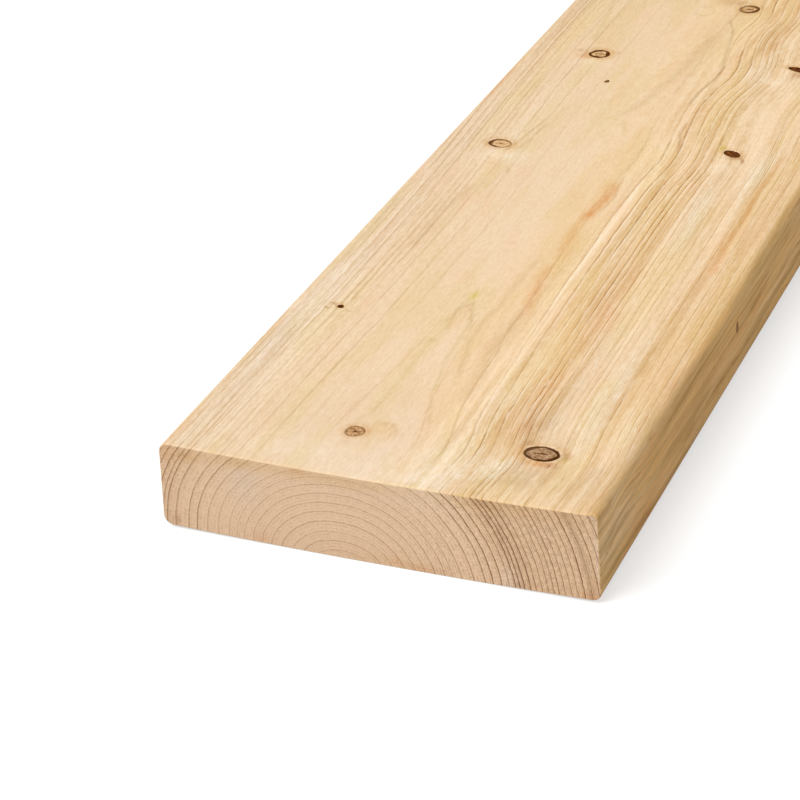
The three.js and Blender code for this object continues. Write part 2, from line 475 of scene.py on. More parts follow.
def srgb(color):
    def one(v):
        v /= 255
        return v / 12.92 if v <= 0.04045 else ((v + 0.055) / 1.055) ** 2.4

    return (*(one(v) for v in color), 1.0)


def stains():
    """Every stain, and the painted shade along the right arris, with all its values, as in the table of
    deeper stains.
    """
    for x, y, wide, long, color, strength in TOP_STAINS:
        yield x, y, TOP_HEIGHT, wide, long, TOP_STAIN_DEPTH, color, strength
    for x, z, wide, tall, color, strength in END_STAINS:
        yield x, 0, z, wide, END_STAIN_DEPTH, tall, color, strength
    yield from DEEP_STAINS_AND_SHADE


def spot(*offsets):
    """A soft spot: 1 at its middle, less by the offsets from it as shares of its half sizes."""
    return np.exp(-SPOT_FALL * sum(offset**2 for offset in offsets))


def stained(share, color):
    """What a colour multiplies the bare wood's by, where it has this share."""
    by = np.array(srgb(color)[:3]) / np.array(srgb(BARE)[:3])
    return 1 + share[:, None] * (by - 1)


def from_trail(x, y, points):
    """How far each place is from a line through the points, and how far the line has faded in there."""
    away, place = np.full_like(x, np.inf), np.zeros_like(x)
    done = 0.0
    for (x0, y0), (x1, y1) in zip(points, points[1:]):
        run = math.hypot(x1 - x0, y1 - y0)
        t = np.clip(((x - x0) * (x1 - x0) + (y - y0) * (y1 - y0)) / run**2, 0, 1)
        gap = np.hypot(x - x0 - t * (x1 - x0), y - y0 - t * (y1 - y0))
        nearer = gap < away
        away = np.where(nearer, gap, away)
        place = np.where(nearer, done + t * run, place)
        done += run
    return away, np.clip(np.minimum(place, done - place) / min(TRAIL_FADE, done / 3), 0, 1)


def trail_sway(y):
    """Fibres are never quite straight, and nor are the marks that follow them."""
    return sum(height * np.sin(y / stretch + start) for height, stretch, start in SWAYS)


def stain_and_shade_tint(x, y, z):
    """What stains, patches and the painted shade on the right arris multiply the bare wood's colour by, and
    how much of the figure they hide.
    """
    tint = np.ones((len(x), 3))
    hidden = np.zeros(len(x))
    for at_x, at_y, at_z, wide, long, deep, color, strength in stains():
        tint *= stained(strength * spot((x - at_x) / wide, (y - at_y) / long, (z - at_z) / deep), color)
    for half, color, strength, points in TRAILS:
        away, fade = from_trail(x + trail_sway(y), y, points)
        tint *= stained(strength * fade * spot(away / half) * (z > MARKS_ABOVE), color)
    for at_x, at_y, wide, long, hides, pale in PATCHES:
        share = spot((x - at_x) / wide, (y - at_y) / long) * (z > MARKS_ABOVE)
        tint *= stained(pale * share, CREAM)
        hidden = np.maximum(hidden, hides * share)
    return tint, hidden


# ---- the mesh
# Steps of the lattice round the outline and along the grain
TOP_STEP, SIDE_STEP = 2.6, 4.2
SEEN_STEP, UNSEEN_STEP = 4.5, 9.0
SEEN_LENGTH = 560.0
CORNER_STEPS = 6
# The sawn ends' arrises are worn by this much, and a second row lies this far from the end
WEAR = 0.4
SECOND_ROW = 1.5
# Points closer than this are on the same line
NEAR = 0.01


def outline_stops(section):
    face, side = [TOP_STEP, 0], [SIDE_STEP, 0]
    parts = []
    for start, end, step in zip(section.stops, section.stops[1:], side + side + face + side):
        count = round((end - start) / step) if step else CORNER_STEPS
        parts.append(np.linspace(start, end, count + 1)[:-1])
    return np.concatenate([*parts, [section.round]])


def row_stops(length):
    """Rows along the grain: close together in the photographed part, and one at the middle of the length."""
    stops = (0, SEEN_LENGTH, length / 2, length)
    steps = (SEEN_STEP, UNSEEN_STEP, UNSEEN_STEP)
    rows = [np.linspace(a, b, round((b - a) / step) + 1) for a, b, step in zip(stops, stops[1:], steps)]
    ends = (WEAR, SECOND_ROW)
    return np.unique(np.concatenate([*rows, ends, [length - e for e in ends]]).round(4))


CROSSING_STEPS = 8001
LEAST_FACING = 0.3


def crossings(knot, section):
    """Where a knot meets the outline: its place, its half sizes round and along the plank, and its turn."""
    along = np.linspace(0, section.round, CROSSING_STEPS)
    x, z, out_x, out_z = section.at(along)
    side, _, out = knot.local(x, np.full_like(x, knot.y), z)
    found = []
    for i in np.flatnonzero((side[:-1] * side[1:] <= 0) & (out[:-1] > 0)):
        size = float(knot.size(out[i]))
        facing = max(abs(out_x[i] * knot.out[0] + out_z[i] * knot.out[1]), LEAST_FACING)
        turn = knot.turn * np.sign(side[i + 1] - side[i])
        found.append((along[i], knot.across * knot.slant * size / facing, knot.along * size, turn))
    return found


# Rings of points at a knot: shares of its size inside it, then steps from its rim
INNER_RINGS = (0.25, 0.5, 0.7)
RIM_STEPS = (-1.6, -0.9, -0.45, -0.2, 0.0, 0.2, 0.45, 0.9, 1.6, 2.6, 4.0)
# The points' spacing at the rim and how fast it grows away from it, the fewest in a ring, the least ring,
# and how far the lattice keeps off the last one
RIM_SPACING, SPACING_GROWTH = 0.7, 0.35
FEWEST_POINTS = 10
LEAST_RING = 0.2
RING_CLEAR = 1.2
SEAM_CLEAR = 0.6


def knot_points(place, y, half_across, half_along, tilt, detail):
    """Rings of points that close in on the knot's rim."""
    mean = (half_across + half_along) / 2
    cos, sin = math.cos(tilt), math.sin(tilt)
    points = [(place, y)]
    inner = [f * mean - mean for f in INNER_RINGS if mean * (1 - f) > -RIM_STEPS[0]]
    for step in [*inner, *RIM_STEPS]:
        a, b = half_across + step, half_along + step
        if mean + step < INNER_RINGS[0] * mean or min(a, b) < LEAST_RING:
            continue
        spacing = (RIM_SPACING + abs(step) * SPACING_GROWTH) / detail
        count = max(FEWEST_POINTS, round(math.pi * (a + b) / spacing))
        turn = np.linspace(0, 2 * math.pi, count, endpoint=False) + step
        u, v = a * np.cos(turn), b * np.sin(turn)
        points += list(zip(place + u * cos - v * sin, y + u * sin + v * cos))
    return points


# The lattice at a stain smaller than this, in its half sizes, and how much it leans
FINE_STAIN = 2.2
FINE_LATTICE = np.arange(-1.6, 1.7, 0.4)
LATTICE_LEAN = 0.11


def stain_points(section):
    """A finer lattice at the small stains of the top face."""
    made = []
    for x, y, wide, long, _, _ in TOP_STAINS:
        if min(wide, long) < FINE_STAIN:
            place = section.top_place(x)
            for a in FINE_LATTICE:
                made += [(place + a * wide, y + b * long + LATTICE_LEAN * a) for b in FINE_LATTICE]
    return made


# Points along a trail: the first one's share of a line, their spacing, and places beside it in half widths
TRAIL_START = 0.03
TRAIL_STEP = 1.7
TRAIL_SIDES = (-2.4, -1.6, -0.8, 0, 0.8, 1.6, 2.4)


def trail_points(section):
    """Points along each trail and beside it."""
    made = []
    for half, _, _, points in TRAILS:
        for (x0, y0), (x1, y1) in zip(points, points[1:]):
            run = math.hypot(x1 - x0, y1 - y0)
            for t in np.arange(TRAIL_START, 1, TRAIL_STEP / run):
                for side in TRAIL_SIDES:
                    y = y0 + t * (y1 - y0) - side * half * (x1 - x0) / run
                    x = x0 + t * (x1 - x0) + side * half * (y1 - y0) / run - trail_sway(y)
                    made.append((section.top_place(x), y))
    return made


def sheet_points(section, length, knots):
    """Points over the unrolled faces: a lattice, with finer points at knots, stains and trails."""
    u, y = (a.ravel() for a in np.meshgrid(outline_stops(section), row_stops(length)))
    keep = np.ones(len(u), bool)
    clear = RIM_STEPS[-1] + RING_CLEAR
    extra = []
    for knot in knots:
        for place, a, b, turn in crossings(knot, section):
            keep &= ((u - place) / (a + clear)) ** 2 + ((y - knot.y) / (b + clear)) ** 2 >= 1
            extra += knot_points(place, knot.y, a, b, turn, knot.detail)
    extra += stain_points(section) + trail_points(section)
    fixed = [Vector(p) for p in zip(u[keep], y[keep])]
    return fixed + [Vector(p) for p in extra if SEAM_CLEAR < p[0] < section.round - SEAM_CLEAR]


def triangulated(points, edges=(), kind=0):
    """The points and the triangles between them, over the whole hull, or with kind 1 inside the edges."""
    verts, _, tris, *_ = delaunay_2d_cdt(points, list(edges), [], kind, TINY)
    return np.array([tuple(v) for v in verts]), np.array([t for t in tris if len(t) == 3], int)


# Relief at a knot: a gap round it, wood that swells beside it, and a face that sinks a little
GAP_DEPTH, GAP_WIDTH = 0.32, 0.28
SWELL_RISE, SWELL_REACH = 0.1, 2.0
KNOT_SINK = 0.08


def relief(x, y, z, knots):
    """How far the surface stands out or in at the knots."""
    height = np.zeros_like(x)
    for knot in knots:
        _, _, distance = knot.place(x, y, z)
        _, _, out = knot.local(x, y, z)
        off = (distance - 1) * (knot.across + knot.along) / 2 * knot.size(out)
        height -= GAP_DEPTH * knot.look[1] * np.exp(-((off / GAP_WIDTH) ** 2))
        height += SWELL_RISE * np.exp(-np.maximum(off, 0) / SWELL_REACH) * (off > 0) * (z > EDGE_RADIUS)
        height -= KNOT_SINK * (off < 0)
    return height


# The near right corner: how far it stands out, how far along it does, and the shapes across and along
CORNER_RISE, CORNER_REACH = 1.0, 16.0
CORNER_SKEW, CORNER_FALL = 1.3, 1.5


def sharp_corner(section, u, y):
    """The photographed top right arris is eased less towards the end of the plank."""
    share = np.clip((u - section.stops[TOP_RIGHT]) / section.runs[TOP_RIGHT], 0, 1)
    fade = np.clip(1 - y / CORNER_REACH, 0, 1) ** CORNER_FALL
    return CORNER_RISE * np.sin(math.pi * share**CORNER_SKEW) * fade


def surface_places(section, length, knots, sheet):
    """Where the points of the unrolled sheet lie on the plank."""
    u, y = sheet.T
    x, z, out_x, out_z = section.at(np.clip(u, 0, section.round))
    worn = np.where((y < NEAR) | (y > length - NEAR), -WEAR, 0)
    shift = relief(x, y, z, knots) + worn + sharp_corner(section, u, y)
    return np.stack([x + out_x * shift, y, z + out_z * shift], 1)


def welded(section, sheet):
    """Each sheet point's number in the mesh, and which are kept: the sheet's two long sides meet."""
    u, y = sheet.T
    left = np.flatnonzero(u < NEAR)
    right = np.flatnonzero(u > section.round - NEAR)
    kept = np.ones(len(sheet), bool)
    kept[right] = False
    number = np.cumsum(kept) - 1
    number[right[np.argsort(y[right])]] = number[left[np.argsort(y[left])]]
    return number, kept


# The lattice inside a sawn end: from, to and step
CAP_ACROSS, CAP_UP, CAP_STEP = (-90, 91), (2.0, 37.5), 2.0


def end_cap(outline):
    """A sawn end's points, with the outline's first, and its triangles."""
    lattice = [(x, z) for z in np.arange(*CAP_UP, CAP_STEP) for x in np.arange(*CAP_ACROSS, CAP_STEP)]
    inner = [Vector((x, z + CUP * (x / HALF_WIDTH) ** 2)) for x, z in lattice]
    edges = [(i, (i + 1) % len(outline)) for i in range(len(outline))]
    return triangulated([Vector(p) for p in outline] + inner, edges, 1)


def outward_share(section, length, verts, tri, end):
    """Above 0 for triangles that face outwards."""
    p = verts[tri]
    normal = np.cross(p[:, 1] - p[:, 0], p[:, 2] - p[:, 0])
    across, along, up = (p.mean(1) - (0, length / 2, section.thickness / 2)).T
    round_face = normal[:, 0] * across / HALF_WIDTH**2 + normal[:, 2] * up / (section.thickness / 2) ** 2
    return np.where(end == 0, round_face, normal[:, 1] * along)


def build_plank(section, length, knots):
    """Points, triangles, each triangle's corners on the unrolled sheet or end, and 1 or 2 on an end."""
    sheet, faces = triangulated(sheet_points(section, length, knots))
    u, y = sheet.T
    places = surface_places(section, length, knots, sheet)
    number, kept = welded(section, sheet)
    verts = places[kept]
    tris, corners, ends = [number[faces]], [sheet[faces]], [np.zeros(len(faces))]
    for side, level in enumerate((0, length), 1):
        rim = np.flatnonzero(np.abs(y - level) < NEAR)
        rim = rim[np.argsort(u[rim])][:-1]
        cap, cap_faces = end_cap(places[rim][:, [0, 2]])
        inner = np.insert(cap[len(rim):], 1, level, 1)
        index = np.concatenate([number[rim], len(verts) + np.arange(len(inner))])
        verts = np.concatenate([verts, inner])
        tris.append(index[cap_faces])
        corners.append(cap[cap_faces])
        ends.append(np.full(len(cap_faces), side))
    tri, corner, end = (np.concatenate(sets) for sets in (tris, corners, ends))
    swap = outward_share(section, length, verts, tri, end) < 0
    tri[swap] = tri[swap][:, ::-1]
    corner[swap] = corner[swap][:, ::-1]
    return verts, tri, corner, end


# The export's image: the unrolled faces, cut in two at the middle of the length, side by side, and the two
# ends above them. The top face, and of the length the photographed part, have the most pixels.
MAP_SIDE = 1024.0
NEAR_HALF_FROM, FAR_HALF_FROM, STRIPS_UP = 4.0, 516.0, 4.0
ROUND_PIXELS = (0.0, 132.0, 178.0, 454.0, 500.0)
LENGTH_PIXELS = (0.0, 500.0, 934.0)
ENDS_UP, END_WIDE, END_TALL = 946.0, 500.0, 74.0


def map_places(section, length, corner, end):
    """Where each corner of each face lies on the export's image."""
    half = length / 2
    u, y = corner[..., 0], corner[..., 1]
    second = y.mean(1, keepdims=True) > half
    across = ROUND_PIXELS[-1] - np.interp(u, section.stops[[0, 1, TOP_FACE, TOP_LEFT, -1]], ROUND_PIXELS)
    near_up = np.interp(y, (0, SEEN_LENGTH, half), LENGTH_PIXELS)
    far_up = (y - half) / half * LENGTH_PIXELS[-1]
    up = np.where(second, far_up, near_up) + STRIPS_UP
    sheet = np.stack([across + np.where(second, FAR_HALF_FROM, NEAR_HALF_FROM), up], -1)
    far_end = (end == 2)[:, None]
    x = (np.where(far_end, -u, u) / section.box_width + 0.5) * END_WIDE
    up = y / section.box_height * END_TALL + ENDS_UP
    cap = np.stack([x + np.where(far_end, FAR_HALF_FROM, NEAR_HALF_FROM), up], -1)
    return np.where((end == 0)[:, None, None], sheet, cap) / MAP_SIDE


# Beyond this many times its size a knot doesn't show. Each knot's seed is this far from the last one's
KNOT_REACH = 4.0
SEED_STEP = 7.31


def knot_values(x, y, z, knots):
    """Each point's place at its nearest knot, and that knot's look and seed."""
    place = np.zeros((len(x), 3))
    place[:, 2] = KNOT_REACH
    look = np.zeros((len(x), 6))
    for knot in knots:
        a, b, distance = knot.place(x, y, z)
        nearer = distance < place[:, 2]
        place[nearer] = np.stack([a, b, distance], 1)[nearer]
        look[nearer] = (*knot.look, knot.seed * SEED_STEP)
        look[nearer, 1:3] *= 1 + knot.lean * np.clip(a[nearer, None], -1, 1)
    return place, look


def store(mesh, name, values, domain="POINT"):
    """Keeps a vector or a number for each point or face of the mesh."""
    kind, field = ("FLOAT", "value") if values.ndim == 1 else ("FLOAT_VECTOR", "vector")
    layer = mesh.attributes.new(name, kind, domain)
    layer.data.foreach_set(field, values.astype(np.float32).ravel())


def write_mesh(section, length, knots, whorls, low_y):
    verts, tri, corner, end = build_plank(section, length, knots)
    made = bpy.data.meshes.new("wood_plank")
    world = verts * MM
    world[:, 1] += low_y
    made.from_pydata(world.tolist(), [], tri.tolist())
    made.update()
    made.polygons.foreach_set("use_smooth", end == 0)
    image_map = made.uv_layers.new(name="OFBake")
    image_map.uv.foreach_set("vector", map_places(section, length, corner, end).astype(np.float32).ravel())
    x, y, z = verts.T
    tint, hidden = stain_and_shade_tint(x, y, z)
    place, look = knot_values(x, y, z, knots)
    store(made, "growth", in_tree(x, y, z, knots, whorls))
    store(made, "tint", tint)
    store(made, "hidden", hidden)
    store(made, "knot_place", place)
    store(made, "knot_look", look[:, :3])
    store(made, "knot_more", look[:, 3:])
    store(made, "end_grain", (end > 0).astype(float), "FACE")
    return placed("wood_plank", made)


# ---- nodes
class Graph:
    """A material's nodes, made by short calls. A value is a number, a tuple or another node's output."""

    def __init__(self, name):
        self.material = bpy.data.materials.new(name)
        self.material.use_nodes = True
        self.tree = self.material.node_tree
        self.tree.nodes.clear()

    def node(self, kind, **settings):
        made = self.tree.nodes.new(kind)
        for key, value in settings.items():
            setattr(made, key, value)
        return made

    def put(self, socket, value):
        if isinstance(value, bpy.types.NodeSocket):
            self.tree.links.new(value, socket)
        else:
            socket.default_value = value

    def fill(self, made, *values):
        """Puts values into a node's first inputs, and gives the node's first output."""
        for socket, value in zip(made.inputs, values):
            self.put(socket, value)
        return made.outputs[0]

    def finish(self, shader):
        self.put(self.node("ShaderNodeOutputMaterial").inputs["Surface"], shader.outputs[0])
        return self.material

    def math(self, operation, a, b=0.0, c=0.0):
        return self.fill(self.node("ShaderNodeMath", operation=operation), a, b, c)

    def times(self, first, *others):
        for other in others:
            first = self.math("MULTIPLY", first, other)
        return first

    def plus(self, first, *others):
        for other in others:
            first = self.math("ADD", first, other)
        return first

    def rest(self, share):
        """What is left of 1."""
        return self.math("SUBTRACT", 1.0, share)

    def centred(self, value, span):
        """A noise value, moved to lie round zero and spread over the span."""
        return self.math("MULTIPLY_ADD", value, span, -span / 2)

    def between(self, share, a, b):
        made = self.node("ShaderNodeMix", data_type="FLOAT")
        self.put(made.inputs[2], a)
        self.put(made.inputs[3], b)
        return self.fill(made, share)

    def vector(self, operation, a, b=(0.0, 0.0, 0.0)):
        made = self.node("ShaderNodeVectorMath", operation=operation)
        self.fill(made, a, b)
        return made.outputs["Value"] if operation == "LENGTH" else made.outputs[0]

    def split(self, vector):
        made = self.node("ShaderNodeSeparateXYZ")
        self.fill(made, vector)
        return made.outputs[:3]

    def join(self, x, y, z=0.0):
        return self.fill(self.node("ShaderNodeCombineXYZ"), x, y, z)

    def mix(self, share, a, b, blend="MIX"):
        made = self.node("ShaderNodeMix", data_type="RGBA", blend_type=blend)
        self.put(made.inputs[0], share)
        self.put(made.inputs[6], a)
        self.put(made.inputs[7], b)
        return made.outputs[2]

    def tint(self, share, color, by):
        """The colour, multiplied by another as far as the share says."""
        return self.mix(share, color, by, "MULTIPLY")

    def noise(self, place, stretch, detail=2.0, roughness=0.5):
        made = self.node("ShaderNodeTexNoise")
        self.put(made.inputs["Vector"], self.vector("MULTIPLY", place, stretch))
        made.inputs["Scale"].default_value = 1.0
        made.inputs["Detail"].default_value = detail
        made.inputs["Roughness"].default_value = roughness
        return made.outputs["Fac"]

    def ramp(self, value, low, high, low_out=0.0, high_out=1.0):
        made = self.node("ShaderNodeMapRange", interpolation_type="SMOOTHSTEP")
        return self.fill(made, value, low, high, low_out, high_out)

    def fall(self, value, low, high):
        return self.ramp(value, low, high, 1.0, 0.0)

    def attribute(self, name, output="Vector"):
        return self.node("ShaderNodeAttribute", attribute_name=name).outputs[output]

    def curve(self, value, points):
        made = self.node("ShaderNodeFloatCurve")
        line = made.mapping.curves[0]
        for point, place in zip(line.points, points):
            point.location = place
        for place in points[2:]:
            line.points.new(*place)
        for point in line.points:
            point.handle_type = "VECTOR"
        made.mapping.update()
        self.put(made.inputs["Value"], value)
        return made.outputs[0]

    def colors(self, value, stops):
        """A ramp through the colours, given at their places."""
        made = self.node("ShaderNodeValToRGB")
        ramp = made.color_ramp
        while len(ramp.elements) < len(stops):
            ramp.elements.new(1.0)
        for element, (place, color) in zip(ramp.elements, stops):
            element.position = place
            element.color = srgb(color)
        return self.fill(made, value)


# ---- the wood
# Bare wood's colour by radius on the right of the pith, by X from the pith on the left, and on the ends
PALE, HONEY, GOLDEN, RUSSET = (239, 211, 180), (238, 207, 167), (238, 206, 165), (231, 196, 151)
TONES = (
    (0, PALE), (50, PALE), (53, GOLDEN), (62, GOLDEN), (65, RUSSET), (77, RUSSET), (81, HONEY), (99, HONEY),
    (101, RUSSET), (104, RUSSET), (106, HONEY), (110, RUSSET), (128, RUSSET),
)
LEFT_FAR, LEFT_MIDDLE, LEFT_PITH = (235, 208, 175), (235, 206, 170), (238, 209, 174)
LEFT_TONES = ((-128, LEFT_FAR), (-61, LEFT_FAR), (-52, LEFT_MIDDLE), (0, LEFT_PITH))
# Where the right's tones come in
RIGHT_TONES_FROM = (-6, 16)
CUT, CUT_RIGHT, CUT_DENSE, CUT_BROWN = (236, 202, 168), (232, 197, 161), (225, 189, 153), (214, 179, 144)
CUT_TONES = (
    (0, CUT), (64, CUT), (70, CUT_RIGHT), (73, CUT_DENSE), (79, CUT_DENSE), (83, CUT_RIGHT),
    (100, CUT_RIGHT), (102.6, CUT_RIGHT), (103.2, CUT_BROWN), (105.2, CUT_BROWN), (106.4, CUT_RIGHT),
    (128, CUT_RIGHT),
)
# What the late line and the wood before it multiply the bare colour by, and the early wood's own colour
LINE, BAND, EARLY = (0.56, 0.41, 0.23, 1), (0.96, 0.89, 0.76, 1), (250, 230, 201)
CUT_LINE, CUT_BAND = (0.26, 0.15, 0.07, 1), (0.91, 0.86, 0.78, 1)
# What dark and pale fibres and slow changes of hue multiply it by, and the colours of pale fibres and dabs
DARK_FIBRE, PALE_FIBRE = (0.82, 0.73, 0.56, 1), (1.18, 1.27, 1.44, 1)
YELLOW, PINK = (0.965, 0.965, 0.87, 1), (1.0, 0.96, 0.95, 1)
WHITE_FIBRE, DAB_COLOR = (248, 228, 198), (247, 226, 194)
# The first of these warms and slightly darkens the planed edges, and on the right also the top's arris, where
# that is painted shade; the other two make the edges' streaks.
EDGE_TONE_AND_SHADE, EDGE_DARK, EDGE_PALE = (1.05, 0.925, 0.72, 1), (0.81, 0.76, 0.66, 1), (1.13, 1.11, 1.06, 1)
# On the left of the pith the same rings lie further out: radius there, and the radius on the right. The last
# pair is where one side changes into the other, as X over the radius
LEFT_RADII = (
    (0, 0), (62, 61.5), (66.6, 64.7), (70.4, 68.2), (76.4, 71.2), (80.2, 73.7), (81.8, 75.4), (84.3, 77.2),
    (87.3, 79.8), (92, 84.5), (128, 120),
)
RIGHT_FROM = (-0.35, 0.25)
# How clearly lines and fibres show from the left of the pith to the right: X from the pith, share
LINES_SHOW = (
    (-128, 0.5), (-68, 0.5), (-50, 0.3), (-40, 0.25), (-35.5, 0.6), (-31, 0.25), (-14, 0.3), (-6, 0.5),
    (20, 0.55), (34, 0.8), (48, 1), (60, 0.9), (72, 0.75), (128, 0.75),
)
BANDS_SHOW = ((-128, 1), (-50, 0.8), (-30, 0), (20, 0), (40, 1), (128, 1))
FAINT_SHOW = ((-128, 1), (-50, 1), (-42, 0.2), (30, 0.2), (38, 0.8), (128, 0.8))
STREAKS_SHOW = (
    (-128, 0.8), (-52, 0.8), (-42, 0.4), (-25, 0.3), (15, 0.3), (30, 0.8), (60, 0.8), (72, 0.6), (80, 0.6),
    (128, 0.8),
)
WIDE_SHOW = ((-128, 0.45), (-45, 0.38), (-30, 0), (18, 0), (32, 1), (56, 1), (72, 0.75), (128, 0.75))
DASHES_SHOW = ((-128, 1), (-48, 0.9), (-25, 0.65), (15, 0.65), (35, 0.8), (128, 0.8))
PORES_SHOW = ((-128, 0.7), (-40, 0.5), (20, 0.5), (50, 0.9), (128, 0.9))
CUT_LINES_SHOW = ((-128, 0.75), (-66, 0.66), (-58, 0.52), (-10, 0.55), (30, 0.7), (45, 1), (128, 1))
CUT_TONES_SHOW = ((-128, 0.7), (-20, 0.1), (35, 1), (128, 1))
# How wide the lines are, which on the faces are thinnest right over the pith
LINES_WIDTH = ((-128, 1), (-22, 1), (-8, 0.25), (8, 0.25), (22, 1), (128, 1))
CUT_LINES_WIDTH = ((-128, 0.8), (30, 0.8), (48, 1), (128, 1))
# Noise: changes a mm across the grain and along it, detail and roughness
RING_SLOW, RING_QUICK, RING_ROUGH = (0.025, 0.006, 0.0), (0.10, 0.020, 0.0), (0.5, 0.06, 2.0, 0.7)
FAINT_HERE, LINES_BREAK, MOTTLE = (0.4, 0.010, 1.0), (0.22, 0.014, 2.0), (0.9, 0.12, 2.0, 0.7)
STREAK, DASH, WIDE_STREAK = (0.70, 0.016, 3.0, 0.7), (0.95, 0.24, 2.0, 0.8), (0.24, 0.007, 1.0)
YELLOWING, PINKING, WHITE = (0.08, 0.012, 2.0), (0.12, 0.025, 2.0), (1.0, 0.06, 2.0, 0.7)
DAB, CUT_PORES = (0.26, 0.13, 2.0, 0.6), (1.1, 0.0, 2.0, 0.85)
FINE_FIBRE, FINE_PORES = (1.3, 0.10, 2.0, 0.7), (1.3, 0.0, 2.0, 0.8)
# How far in mm each noise moves the rings
SLOW_SHIFT, QUICK_SHIFT, ROUGH_SHIFT = 0.8, 0.5, 0.7
# Streaks, dashes and wide streaks: their noise, how far it changes the tone, and where it shows
FIBRES = ((STREAK, 0.75, STREAKS_SHOW), (DASH, 1.05, DASHES_SHOW), (WIDE_STREAK, 1.2, WIDE_SHOW))
# A ring has its full strength this far before its late line
LINE_LEAD = 0.4
FIRST_STRENGTH, LAST_STRENGTH = 0.4, 0.5
# The curve of ring widths holds them as shares of this
WIDTH_SCALE = 10.0
FIRST_WIDTH, LAST_WIDTH = 0.4, 0.3
FAINT_LINES = 3
LINE_SHARPNESS = 1.6


class Wood(Graph):
    """The wood's nodes, which start from each point's place in the tree."""

    def __init__(self):
        super().__init__("softwood")
        self.growth = self.attribute("growth")
        self.x, _, self.z = self.split(self.growth)
        self.place = self.math("MULTIPLY_ADD", self.x, 1 / (2 * RING_SPAN), 0.5)

    def grain(self, across, along, detail=2.0, roughness=0.5):
        """Noise that changes at one rate across the grain and at another along it."""
        return self.noise(self.growth, (across, along, across), detail, roughness)

    def across(self, values, make=None):
        """A number that changes from the left of the pith to the right, or with self.colors a colour."""
        stops = [((x + RING_SPAN) / (2 * RING_SPAN), value) for x, value in values]
        return (make or self.curve)(self.place, stops)

    def outwards(self, share, tones):
        """A colour that changes with the radius's share of RING_SPAN."""
        return self.colors(share, [(radius / RING_SPAN, color) for radius, color in tones])


def ring_figure(g):
    """How far through its ring a point is, how far from its late line, how far past the last one, the faint
    lines, the ring's strength, and the radius's share of RING_SPAN."""
    shifts = ((RING_SLOW, SLOW_SHIFT), (RING_QUICK, QUICK_SHIFT), (RING_ROUGH, ROUGH_SHIFT))
    wobble = g.plus(*(g.centred(g.grain(*noise), shift) for noise, shift in shifts))
    straight = g.vector("LENGTH", g.join(g.x, 0.0, g.z))
    right = g.ramp(g.math("DIVIDE", g.x, straight), *RIGHT_FROM)
    share = g.math("DIVIDE", g.plus(straight, wobble), RING_SPAN)
    left_share = g.curve(share, [(a / RING_SPAN, b / RING_SPAN) for a, b in LEFT_RADII])
    share = g.between(right, left_share, share)
    count = len(RINGS) + 1
    radii = [0.0] + [r for r, _ in RINGS] + [RING_SPAN]
    index = g.curve(share, [(r / RING_SPAN, i / count) for i, r in enumerate(radii)])
    strengths = [((r - LINE_LEAD) / RING_SPAN, s) for r, s in RINGS]
    strength = g.curve(share, [(0, FIRST_STRENGTH), *strengths, (1, LAST_STRENGTH)])
    middles = [((a + b) / 2 / RING_SPAN, (b - a) / WIDTH_SCALE) for a, b in zip(radii, radii[1:])]
    width = g.times(g.curve(share, [(0, FIRST_WIDTH), *middles, (1, LAST_WIDTH)]), WIDTH_SCALE)
    through = g.math("FRACT", g.times(index, count))
    left = g.times(g.rest(through), width)
    # Fainter lines between the late lines
    part = g.math("FRACT", g.times(index, count * FAINT_LINES))
    part = g.times(g.rest(part), width, 1 / FAINT_LINES)
    here = g.ramp(g.grain(*FAINT_HERE), 0.42, 0.6)
    return through, left, g.times(through, width), g.times(g.fall(part, 0.1, 0.6), here), strength, share


def late_line(g, left, reach, narrow=1.0):
    """How strongly a ring's late line shows, by how far outwards it still is."""
    return g.math("POWER", g.fall(g.math("DIVIDE", left, narrow), 0.10, reach), LINE_SHARPNESS)


def fibre_tone(g, color, hidden, edge):
    """Streaks along the grain, short dashes, slow changes of hue, and dabs where the rings are hidden."""
    level = 0.5
    for noise, span, shows in FIBRES:
        change = g.centred(g.grain(*noise), span)
        level = g.math("MULTIPLY_ADD", change, g.across(shows), level)
    level = g.between(g.times(edge, 0.5), level, 0.48)
    color = g.tint(1.0, color, g.mix(level, DARK_FIBRE, PALE_FIBRE))
    color = g.tint(g.ramp(g.grain(*YELLOWING), 0.46, 0.62), color, YELLOW)
    color = g.tint(g.ramp(g.grain(*PINKING), 0.54, 0.70), color, PINK)
    white = g.ramp(g.grain(*WHITE), 0.56, 0.70, 0.0, 0.6)
    white = g.times(white, g.across(STREAKS_SHOW), g.between(edge, 1.0, 0.5))
    color = g.mix(white, color, srgb(WHITE_FIBRE))
    dab = g.ramp(g.grain(*DAB), 0.44, 0.66, 0.0, 0.38)
    return g.mix(g.times(dab, hidden), color, srgb(DAB_COLOR))


# A knot's heart by how dark it is, its rim, a painted highlight beside the rim, and light specks. The others
# multiply the colour below them
HEARTS = (
    (0, (238, 198, 146)), (0.25, (212, 168, 112)), (0.34, (202, 156, 106)), (0.46, (194, 160, 124)),
    (0.55, (150, 104, 64)), (0.75, (120, 68, 24)), (1, (80, 36, 2)),
)
RIM_BROWN, RIM_DARK, GLEAM, LIGHT_SPECK = (92, 50, 4), (80, 44, 2), (246, 222, 190), (222, 188, 150)
HALO, WAVE, SPECK = (0.84, 0.66, 0.44, 1), (0.66, 0.54, 0.42, 1), (0.50, 0.37, 0.22, 1)
DEAD_SPECK, MIDDLE = (3.4, 3.6, 4.6, 1), (0.34, 0.20, 0.10, 1)
WARP_SCALE, SPECK_SCALE = (1.3, 1.3, 1.0), (3.6, 3.6, 1.0)
WAVES_ACROSS = 20.0
# A knot's dark middle is this many times smaller than the knot across the grain and along it, and as ragged
MIDDLE_ACROSS, MIDDLE_ALONG, MIDDLE_RAGGED = 2.6, 5.0, 1.4


